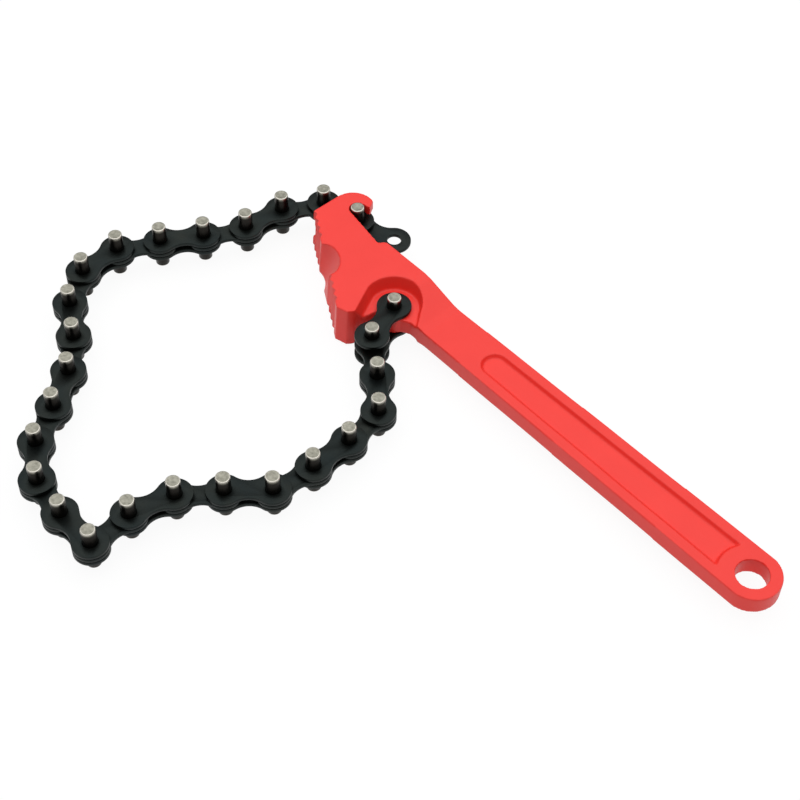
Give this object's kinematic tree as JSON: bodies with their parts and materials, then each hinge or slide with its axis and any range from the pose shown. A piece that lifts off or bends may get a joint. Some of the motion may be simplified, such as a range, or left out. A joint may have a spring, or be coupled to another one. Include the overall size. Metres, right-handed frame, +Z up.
{
  "type": "chain wrench",
  "caption": "Hand chain wrench: forged toothed head on a flat handle with a hang hole, and a leaf chain from its anchor pin that hooks over the head to grip round work.",
  "frame": {"origin": "middle of the footprint, on the surface that the wrench lies on", "axes": "+X from the head towards the hang hole, +Y towards the hook side of the head, +Z up"},
  "size_m": [0.2626, 0.1754, 0.018],
  "materials": {
    "red_paint": "baked red enamel over a forging, satin gloss",
    "black_oxide": "black oxide on stamped steel plates, lightly oiled",
    "ground_steel": "bare ground steel of the pin ends"
  },
  "bodies": {
    "wrench": {"wrench_body": "red_paint"},
    "outer_link_01": {"outer_link_01_cover_plate": "black_oxide", "outer_link_01_pin_plate": "black_oxide"},
    "inner_link_01": {"inner_link_01_plate": "black_oxide"},
    "outer_link_02": {"outer_link_02_cover_plate": "black_oxide", "outer_link_02_pin_plate": "black_oxide"},
    "inner_link_02": {"inner_link_02_plate": "black_oxide"},
    "outer_link_03": {"outer_link_03_cover_plate": "black_oxide", "outer_link_03_pin_plate": "black_oxide"},
    "inner_link_03": {"inner_link_03_plate": "black_oxide"},
    "outer_link_04": {"outer_link_04_cover_plate": "black_oxide", "outer_link_04_pin_plate": "black_oxide"},
    "inner_link_04": {"inner_link_04_plate": "black_oxide"},
    "outer_link_05": {"outer_link_05_cover_plate": "black_oxide", "outer_link_05_pin_plate": "black_oxide"},
    "inner_link_05": {"inner_link_05_plate": "black_oxide"},
    "outer_link_06": {"outer_link_06_cover_plate": "black_oxide", "outer_link_06_pin_plate": "black_oxide"},
    "inner_link_06": {"inner_link_06_plate": "black_oxide"},
    "outer_link_07": {"outer_link_07_cover_plate": "black_oxide", "outer_link_07_pin_plate": "black_oxide"},
    "inner_link_07": {"inner_link_07_plate": "black_oxide"},
    "outer_link_08": {"outer_link_08_cover_plate": "black_oxide", "outer_link_08_pin_plate": "black_oxide"},
    "inner_link_08": {"inner_link_08_plate": "black_oxide"},
    "outer_link_09": {"outer_link_09_cover_plate": "black_oxide", "outer_link_09_pin_plate": "black_oxide"},
    "inner_link_09": {"inner_link_09_plate": "black_oxide"},
    "outer_link_10": {"outer_link_10_cover_plate": "black_oxide", "outer_link_10_pin_plate": "black_oxide"},
    "inner_link_10": {"inner_link_10_plate": "black_oxide"},
    "outer_link_11": {"outer_link_11_cover_plate": "black_oxide", "outer_link_11_pin_plate": "black_oxide"},
    "inner_link_11": {"inner_link_11_plate": "black_oxide"},
    "outer_link_12": {"outer_link_12_cover_plate": "black_oxide", "outer_link_12_pin_plate": "black_oxide"},
    "inner_link_12": {"inner_link_12_plate": "black_oxide"},
    "outer_link_13": {"outer_link_13_cover_plate": "black_oxide", "outer_link_13_pin_plate": "black_oxide"},
    "inner_link_13": {"inner_link_13_plate": "black_oxide"}
  },
  "joints": [
    {"name": "pin_01_hinge", "type": "hinge", "parent": "wrench", "child": "outer_link_01", "pos_m": [-0.03577, 0.05682, 0.009], "axis": [0, 0, 1], "range_deg": [0, 34.5]},
    {"name": "pin_02_hinge", "type": "hinge", "parent": "outer_link_01", "child": "inner_link_01", "pos_m": [-0.0306, 0.04181, 0.009], "axis": [0, 0, 1], "range_deg": [-17.7, 0]},
    {"name": "pin_03_hinge", "type": "hinge", "parent": "inner_link_01", "child": "outer_link_02", "pos_m": [-0.01764, 0.03265, 0.009], "axis": [0, 0, 1], "range_deg": [0, 32.9]},
    {"name": "pin_04_hinge", "type": "hinge", "parent": "outer_link_02", "child": "inner_link_02", "pos_m": [-0.00552, 0.02239, 0.009], "axis": [0, 0, 1], "range_deg": [0, 17.8]},
    {"name": "pin_05_hinge", "type": "hinge", "parent": "inner_link_02", "child": "outer_link_03", "pos_m": [-0.00265, 0.00677, 0.009], "axis": [0, 0, 1], "range_deg": [-18.3, 0]},
    {"name": "pin_06_hinge", "type": "hinge", "parent": "outer_link_03", "child": "inner_link_03", "pos_m": [-0.00227, -0.0091, 0.009], "axis": [0, 0, 1], "range_deg": [-47.3, 0]},
    {"name": "pin_07_hinge", "type": "hinge", "parent": "inner_link_03", "child": "outer_link_04", "pos_m": [-0.0037, -0.02491, 0.009], "axis": [0, 0, 1], "range_deg": [-38, 0]},
    {"name": "pin_08_hinge", "type": "hinge", "parent": "outer_link_04", "child": "inner_link_04", "pos_m": [-0.01398, -0.037, 0.009], "axis": [0, 0, 1], "range_deg": [-22.2, 0]},
    {"name": "pin_09_hinge", "type": "hinge", "parent": "inner_link_04", "child": "outer_link_05", "pos_m": [-0.02328, -0.04986, 0.009], "axis": [0, 0, 1], "range_deg": [-17.7, 0]},
    {"name": "pin_10_hinge", "type": "hinge", "parent": "outer_link_05", "child": "inner_link_05", "pos_m": [-0.02692, -0.06532, 0.009], "axis": [0, 0, 1], "range_deg": [0, 17.7]},
    {"name": "pin_11_hinge", "type": "hinge", "parent": "inner_link_05", "child": "outer_link_06", "pos_m": [-0.02584, -0.08116, 0.009], "axis": [0, 0, 1], "range_deg": [0, 36.3]},
    {"name": "pin_12_hinge", "type": "hinge", "parent": "outer_link_06", "child": "inner_link_06", "pos_m": [-0.04171, -0.08159, 0.009], "axis": [0, 0, 1], "range_deg": [0, 35.6]},
    {"name": "pin_13_hinge", "type": "hinge", "parent": "inner_link_06", "child": "outer_link_07", "pos_m": [-0.05745, -0.07955, 0.009], "axis": [0, 0, 1], "range_deg": [-17.7, 0]},
    {"name": "pin_14_hinge", "type": "hinge", "parent": "outer_link_07", "child": "inner_link_07", "pos_m": [-0.07072, -0.07083, 0.009], "axis": [0, 0, 1], "range_deg": [-17.7, 0]},
    {"name": "pin_15_hinge", "type": "hinge", "parent": "inner_link_07", "child": "outer_link_08", "pos_m": [-0.07957, -0.05766, 0.009], "axis": [0, 0, 1], "range_deg": [0, 24.7]},
    {"name": "pin_16_hinge", "type": "hinge", "parent": "outer_link_08", "child": "inner_link_08", "pos_m": [-0.08899, -0.04487, 0.009], "axis": [0, 0, 1], "range_deg": [0, 24.3]},
    {"name": "pin_17_hinge", "type": "hinge", "parent": "inner_link_08", "child": "outer_link_09", "pos_m": [-0.10083, -0.03431, 0.009], "axis": [0, 0, 1], "range_deg": [-17.7, 0]},
    {"name": "pin_18_hinge", "type": "hinge", "parent": "outer_link_09", "child": "inner_link_09", "pos_m": [-0.11447, -0.02618, 0.009], "axis": [0, 0, 1], "range_deg": [-17.7, 0]},
    {"name": "pin_19_hinge", "type": "hinge", "parent": "inner_link_09", "child": "outer_link_10", "pos_m": [-0.12421, -0.01364, 0.009], "axis": [0, 0, 1], "range_deg": [0, 36.3]},
    {"name": "pin_20_hinge", "type": "hinge", "parent": "outer_link_10", "child": "inner_link_10", "pos_m": [-0.12521, 0.0022, 0.009], "axis": [0, 0, 1], "range_deg": [-17.7, 0]},
    {"name": "pin_21_hinge", "type": "hinge", "parent": "inner_link_10", "child": "outer_link_11", "pos_m": [-0.11808, 0.01639, 0.009], "axis": [0, 0, 1], "range_deg": [-17.7, 0]},
    {"name": "pin_22_hinge", "type": "hinge", "parent": "outer_link_11", "child": "inner_link_11", "pos_m": [-0.10999, 0.03004, 0.009], "axis": [0, 0, 1], "range_deg": [-17.7, 0]},
    {"name": "pin_23_hinge", "type": "hinge", "parent": "inner_link_11", "child": "outer_link_12", "pos_m": [-0.10311, 0.04435, 0.009], "axis": [0, 0, 1], "range_deg": [-17.7, 0]},
    {"name": "pin_24_hinge", "type": "hinge", "parent": "outer_link_12", "child": "inner_link_12", "pos_m": [-0.1015, 0.06014, 0.009], "axis": [0, 0, 1], "range_deg": [-25.3, 0]},
    {"name": "pin_25_hinge", "type": "hinge", "parent": "inner_link_12", "child": "outer_link_13", "pos_m": [-0.09376, 0.074, 0.009], "axis": [0, 0, 1], "range_deg": [-33.6, 0]},
    {"name": "pin_26_hinge", "type": "hinge", "parent": "outer_link_13", "child": "inner_link_13", "pos_m": [-0.07818, 0.07702, 0.009], "axis": [0, 0, 1], "range_deg": [0, 53.9]}
  ],
  "couplings": [
    {"joint": "pin_02_hinge", "follows": "pin_01_hinge", "ratio": -0.5097},
    {"joint": "pin_03_hinge", "follows": "pin_01_hinge", "ratio": 0.9506},
    {"joint": "pin_04_hinge", "follows": "pin_01_hinge", "ratio": 0.5104},
    {"joint": "pin_05_hinge", "follows": "pin_01_hinge", "ratio": -0.5264},
    {"joint": "pin_06_hinge", "follows": "pin_01_hinge", "ratio": -1.3667},
    {"joint": "pin_07_hinge", "follows": "pin_01_hinge", "ratio": -1.0984},
    {"joint": "pin_08_hinge", "follows": "pin_01_hinge", "ratio": -0.6397},
    {"joint": "pin_09_hinge", "follows": "pin_01_hinge", "ratio": -0.51},
    {"joint": "pin_10_hinge", "follows": "pin_01_hinge", "ratio": 0.5099},
    {"joint": "pin_11_hinge", "follows": "pin_01_hinge", "ratio": 1.0477},
    {"joint": "pin_12_hinge", "follows": "pin_01_hinge", "ratio": 1.0287},
    {"joint": "pin_13_hinge", "follows": "pin_01_hinge", "ratio": -0.5097},
    {"joint": "pin_14_hinge", "follows": "pin_01_hinge", "ratio": -0.5097},
    {"joint": "pin_15_hinge", "follows": "pin_01_hinge", "ratio": 0.7128},
    {"joint": "pin_16_hinge", "follows": "pin_01_hinge", "ratio": 0.6989},
    {"joint": "pin_17_hinge", "follows": "pin_01_hinge", "ratio": -0.5097},
    {"joint": "pin_18_hinge", "follows": "pin_01_hinge", "ratio": -0.5097},
    {"joint": "pin_19_hinge", "follows": "pin_01_hinge", "ratio": 1.0471},
    {"joint": "pin_20_hinge", "follows": "pin_01_hinge", "ratio": -0.5097},
    {"joint": "pin_21_hinge", "follows": "pin_01_hinge", "ratio": -0.5097},
    {"joint": "pin_22_hinge", "follows": "pin_01_hinge", "ratio": -0.5098},
    {"joint": "pin_23_hinge", "follows": "pin_01_hinge", "ratio": -0.5099},
    {"joint": "pin_24_hinge", "follows": "pin_01_hinge", "ratio": -0.7285},
    {"joint": "pin_25_hinge", "follows": "pin_01_hinge", "ratio": -0.9682},
    {"joint": "pin_26_hinge", "follows": "pin_01_hinge", "ratio": 1.5592}
  ]
}
